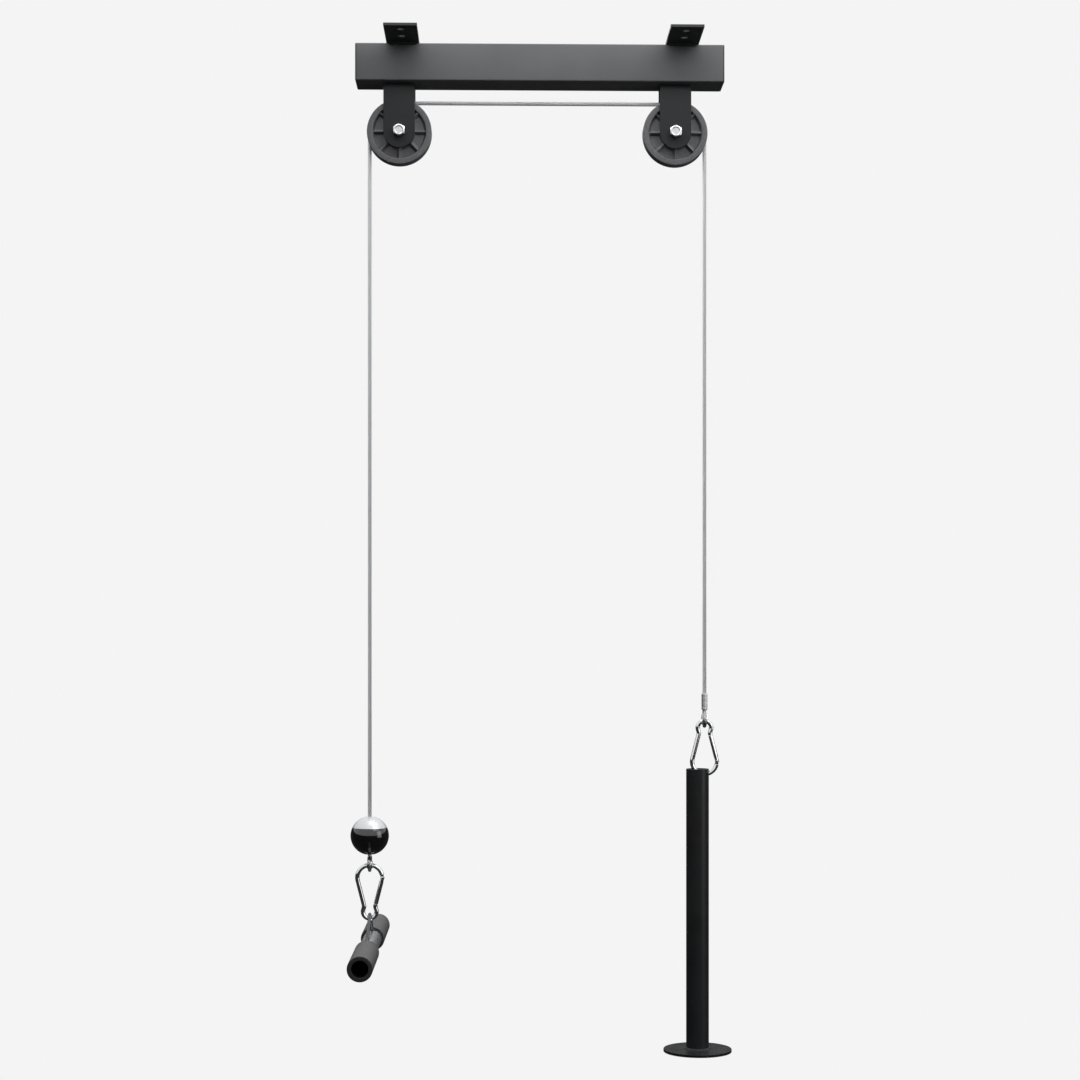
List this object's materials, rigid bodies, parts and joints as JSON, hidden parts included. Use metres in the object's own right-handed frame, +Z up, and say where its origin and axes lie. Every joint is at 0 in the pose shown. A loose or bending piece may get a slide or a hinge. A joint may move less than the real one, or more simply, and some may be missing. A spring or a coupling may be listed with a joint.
{
  "type": "ceiling lat pulley",
  "caption": "Ceiling-mounted lat pulley: beam with grooved pulleys, steel cable with stopper ball, snap hooks, pull handle and a post that takes weight plates.",
  "frame": {"origin": "middle of the ceiling plates' top plane, over the middle of the beam", "axes": "+X along the beam, from the handle's side to the post's side; +Y across it, away from the side the picture shows; +Z up"},
  "size_m": [0.5194, 0.416, 1.3723],
  "materials": {
    "powder_coat": "fine-textured black powder coat",
    "black_cap": "moulded",
    "nylon": "moulded, slightly satin",
    "zinc": "bright zinc plate",
    "bearing_steel": "ground",
    "cable_steel": "stranded wire",
    "chrome": "polished",
    "gloss_black": "glossy",
    "satin_silver": "satin",
    "grip_rubber": "dense foam, matt"
  },
  "bodies": {
    "frame": {"beam_tube": "powder_coat", "beam_end_cap_left": "black_cap", "beam_end_cap_right": "black_cap", "ceiling_plate_left": "powder_coat", "ceiling_plate_right": "powder_coat", "yoke_plate_left_front": "powder_coat", "yoke_plate_left_rear": "powder_coat", "yoke_plate_right_front": "powder_coat", "yoke_plate_right_rear": "powder_coat", "axle_bolt_left": "zinc", "axle_bolt_right": "zinc", "axle_washer_left": "zinc", "axle_washer_right": "zinc", "axle_lock_nut_left": "zinc", "axle_lock_nut_right": "zinc", "axle_spacer_left_front": "zinc", "axle_spacer_left_rear": "zinc", "axle_spacer_right_front": "zinc", "axle_spacer_right_rear": "zinc", "bearing_inner_ring_left": "bearing_steel", "bearing_inner_ring_right": "bearing_steel", "cable_over_pulleys": "cable_steel", "cable_run_left": "cable_steel", "cable_run_right": "cable_steel"},
    "left_sheave": {"sheave_left": "nylon", "bearing_outer_ring_left": "bearing_steel"},
    "right_sheave": {"sheave_right": "nylon", "bearing_outer_ring_right": "bearing_steel"},
    "left_ball_cage": {"bearing_ball_cage_left": "bearing_steel"},
    "right_ball_cage": {"bearing_ball_cage_right": "bearing_steel"},
    "handle_line": {"stopper_ball_body": "gloss_black", "stopper_ball_cap": "satin_silver", "stopper_crimp_sleeve": "satin_silver", "cable_end_loop_left": "cable_steel", "thimble_left": "zinc"},
    "left_hook": {"snap_hook_left": "chrome", "snap_hook_rivet_left": "chrome"},
    "left_gate": {"snap_hook_gate_left": "chrome", "snap_hook_spring_left": "bearing_steel"},
    "handle": {"handle_tube": "chrome", "handle_hanger": "chrome", "handle_grip_front": "grip_rubber", "handle_grip_rear": "grip_rubber"},
    "post_line": {"cable_ferrule_right": "satin_silver", "cable_end_loop_right": "cable_steel", "thimble_right": "zinc"},
    "right_hook": {"snap_hook_right": "chrome", "snap_hook_rivet_right": "chrome"},
    "right_gate": {"snap_hook_gate_right": "chrome", "snap_hook_spring_right": "bearing_steel"},
    "post": {"post_tube": "powder_coat", "post_base_disc": "powder_coat"}
  },
  "joints": [
    {"name": "handle_pull", "type": "slide", "parent": "frame", "child": "handle_line", "axis": [0, 0, -1], "range_m": [-0.88, 0.7], "deforming": ["cable_run_left"]},
    {"name": "post_lift", "type": "slide", "parent": "frame", "child": "post_line", "axis": [0, 0, 1], "range_m": [-0.88, 0.7], "deforming": ["cable_run_right"]},
    {"name": "left_pulley_spin", "type": "hinge", "parent": "frame", "child": "left_sheave", "pos_m": [-0.191, 0, -0.12], "axis": [0, -1, 0], "continuous": true},
    {"name": "right_pulley_spin", "type": "hinge", "parent": "frame", "child": "right_sheave", "pos_m": [0.1845, 0, -0.12], "axis": [0, -1, 0], "continuous": true},
    {"name": "left_bearing_roll", "type": "hinge", "parent": "frame", "child": "left_ball_cage", "pos_m": [-0.191, 0, -0.12], "axis": [0, -1, 0], "continuous": true},
    {"name": "right_bearing_roll", "type": "hinge", "parent": "frame", "child": "right_ball_cage", "pos_m": [0.1845, 0, -0.12], "axis": [0, -1, 0], "continuous": true},
    {"name": "left_hook_swing", "type": "hinge", "parent": "handle_line", "child": "left_hook", "pos_m": [-0.2315, 0, -1.1239], "axis": [0, 1, 0], "range_deg": [-40, 40]},
    {"name": "left_gate_opening", "type": "hinge", "parent": "left_hook", "child": "left_gate", "pos_m": [-0.21432, 0, -1.1348], "axis": [0, 1, 0], "range_deg": [0, 14], "stiffness_Nm_per_rad": 0.08, "springref_deg": -17.19},
    {"name": "handle_tilt", "type": "hinge", "parent": "left_hook", "child": "handle", "pos_m": [-0.2315, 0, -1.1895], "axis": [1, 0, 0], "range_deg": [-75, 75]},
    {"name": "right_hook_swing", "type": "hinge", "parent": "post_line", "child": "right_hook", "pos_m": [0.225, 0, -0.921], "axis": [1, 0, 0], "range_deg": [-40, 40]},
    {"name": "right_gate_opening", "type": "hinge", "parent": "right_hook", "child": "right_gate", "pos_m": [0.24219, 0, -0.9757], "axis": [0, -1, 0], "range_deg": [0, 14], "stiffness_Nm_per_rad": 0.08, "springref_deg": -17.19},
    {"name": "post_swing", "type": "hinge", "parent": "right_hook", "child": "post", "pos_m": [0.22975, 0, -0.99293], "axis": [1, 0, 0], "range_deg": [-30, 30]}
  ],
  "couplings": [
    {"joint": "post_lift", "follows": "handle_pull", "ratio": 1},
    {"joint": "left_pulley_spin", "follows": "handle_pull", "rad_per_m": 24.691},
    {"joint": "right_pulley_spin", "follows": "handle_pull", "rad_per_m": 24.691},
    {"joint": "left_bearing_roll", "follows": "handle_pull", "rad_per_m": 15.605},
    {"joint": "right_bearing_roll", "follows": "handle_pull", "rad_per_m": 15.605}
  ]
}
